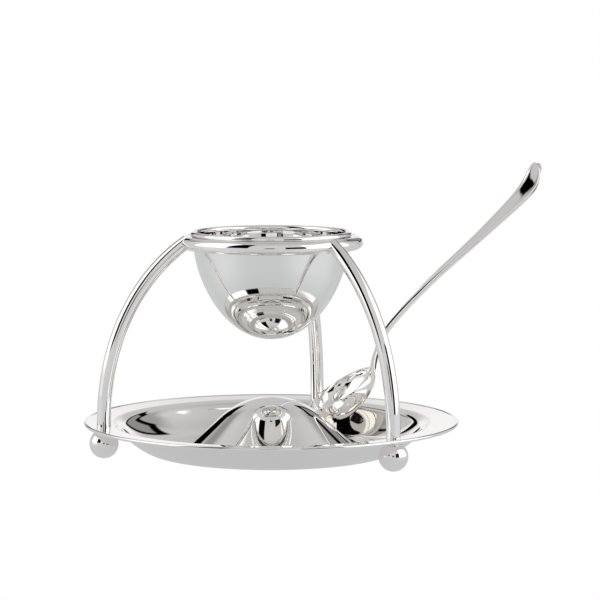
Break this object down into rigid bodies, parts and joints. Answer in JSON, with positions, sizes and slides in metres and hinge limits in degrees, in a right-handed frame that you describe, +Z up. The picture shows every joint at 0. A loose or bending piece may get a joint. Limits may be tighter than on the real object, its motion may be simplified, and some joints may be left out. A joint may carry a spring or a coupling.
{
  "type": "bowl and ladle set on a ring stand",
  "caption": "Polished silver bowl hung by its lip in a ring on arched legs, over a round dish with a raised dome and ball feet, with a loose one-piece ladle leaning in the dish.",
  "frame": {"origin": "on the table, under the middle of the whole set; the axis of the dish, ring and bowl stands at x = -24.6 mm, y = 0", "axes": "+Z up, along the axis of the dish, ring and bowl; -Y is the front; the ladle's handle rises towards +X"},
  "size_m": [0.244, 0.1948, 0.1469],
  "materials": {
    "dish_silver": "mirror-polished silver plate with fine wipe marks",
    "stand_silver": "mirror-polished silver plate on round tube",
    "bowl_silver": "mirror-polished silver plate",
    "ladle_silver": "polished silver plate, slightly softer than the bowl",
    "stud_steel": "plain steel rod"
  },
  "bodies": {
    "stand": {"dish": "dish_silver", "dish_edge_wire": "dish_silver", "top_ring": "stand_silver", "leg_right": "stand_silver", "ball_foot_right": "stand_silver", "foot_stud_right": "stud_steel", "leg_back": "stand_silver", "ball_foot_back": "stand_silver", "foot_stud_back": "stud_steel", "leg_left": "stand_silver", "ball_foot_left": "stand_silver", "foot_stud_left": "stud_steel"},
    "bowl": {"bowl": "bowl_silver", "bowl_lip_wire": "bowl_silver"},
    "ladle": {"ladle": "ladle_silver"}
  },
  "joints": [
    {"name": "bowl_lift", "type": "slide", "parent": "stand", "child": "bowl", "axis": [0, 0, 1], "range_m": [0, 0.07]},
    {"name": "ladle_draw", "type": "slide", "parent": "stand", "child": "ladle", "axis": [0.6366, 0.1587, 0.7547], "range_m": [0, 0.12]}
  ]
}
